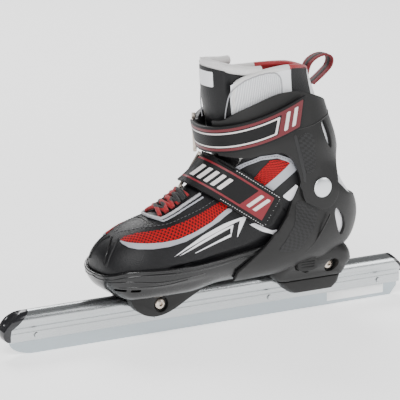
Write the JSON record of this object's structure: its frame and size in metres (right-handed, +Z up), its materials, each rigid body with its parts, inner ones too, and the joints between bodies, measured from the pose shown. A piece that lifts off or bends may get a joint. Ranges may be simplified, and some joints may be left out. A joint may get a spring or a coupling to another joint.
{
  "type": "touring speed skate",
  "caption": "Left touring speed skate: strapped, size-adjustable boot in hard shells on a long straight steel runner in an aluminium tube.",
  "frame": {"origin": "middle of the flat running edge of the runner, on the blade's centre plane", "axes": "+X towards the heel along the runner, +Y towards the inner side of the foot, +Z up"},
  "size_m": [0.4203, 0.1028, 0.2449],
  "materials": {
    "runner_steel": "ground and lightly brushed steel, bluish",
    "tube_aluminium": "satin anodised aluminium",
    "plug_plastic": "gloss black",
    "bolt_nickel": "warm nickel",
    "shell_plastic": "matt moulded charcoal",
    "toe_plastic": "semi-gloss moulded black",
    "pivot_silver": "satin silver",
    "liner_black": "black coated textile with red mesh and silver trim",
    "liner_white": "white ribbed mesh and padded edge",
    "insole_foam": "black felt",
    "lace_red": "red and black woven",
    "strap_web": "black strap with dark red and white bands"
  },
  "bodies": {
    "root": {"blade_runner": "runner_steel", "blade_tube": "tube_aluminium", "front_tube_plug": "plug_plastic", "rear_tube_plug": "plug_plastic", "runner_rivet_1": "tube_aluminium", "runner_rivet_2": "tube_aluminium", "runner_rivet_3": "tube_aluminium", "runner_rivet_4": "tube_aluminium", "rear_cup": "tube_aluminium", "base_plate": "shell_plastic", "front_bolt": "bolt_nickel", "front_nut": "bolt_nickel", "rear_bolt": "bolt_nickel", "rear_nut": "bolt_nickel", "heel_shell": "shell_plastic", "button_spring": "runner_steel", "liner_foot": "liner_black", "insole": "insole_foam", "tongue_lower": "liner_black", "lace": "lace_red", "instep_strap_base": "strap_web", "instep_ring": "bolt_nickel", "instep_ring_keeper": "strap_web"},
    "toe": {"toe_shell": "toe_plastic", "size_rack": "tube_aluminium", "liner_toe": "liner_black"},
    "cuff": {"cuff": "shell_plastic", "cuff_pivot_near": "pivot_silver", "cuff_pivot_far": "pivot_silver", "liner_collar": "liner_white", "tongue_upper": "liner_black", "pull_loop": "lace_red", "cuff_strap_base": "strap_web", "cuff_ring": "bolt_nickel", "cuff_ring_keeper": "strap_web"},
    "cuff_strap": {"cuff_strap_tail": "strap_web"},
    "instep_strap": {"instep_strap_tail": "strap_web"},
    "size_button": {"size_lock_button": "shell_plastic"}
  },
  "joints": [
    {"name": "cuff_flex", "type": "hinge", "parent": "root", "child": "cuff", "pos_m": [0.09, 0, 0.1277], "axis": [0, -1, 0], "range_deg": [-5, 1.5], "stiffness_Nm_per_rad": 4},
    {"name": "size_slide", "type": "slide", "parent": "root", "child": "toe", "axis": [-1, 0, 0], "range_m": [0, 0.02]},
    {"name": "size_button_press", "type": "slide", "parent": "root", "child": "size_button", "axis": [0, 1, 0], "range_m": [0, 0.0025], "stiffness_N_per_m": 400},
    {"name": "cuff_strap_swing", "type": "hinge", "parent": "cuff", "child": "cuff_strap", "pos_m": [-0.00226, 0.02334, 0.1741], "axis": [0.0499, 0, -0.9988], "range_deg": [0, 40]},
    {"name": "instep_strap_swing", "type": "hinge", "parent": "root", "child": "instep_strap", "pos_m": [-0.01293, 0.01264, 0.14384], "axis": [-0.5807, -0.0104, -0.814], "range_deg": [0, 40]}
  ]
}
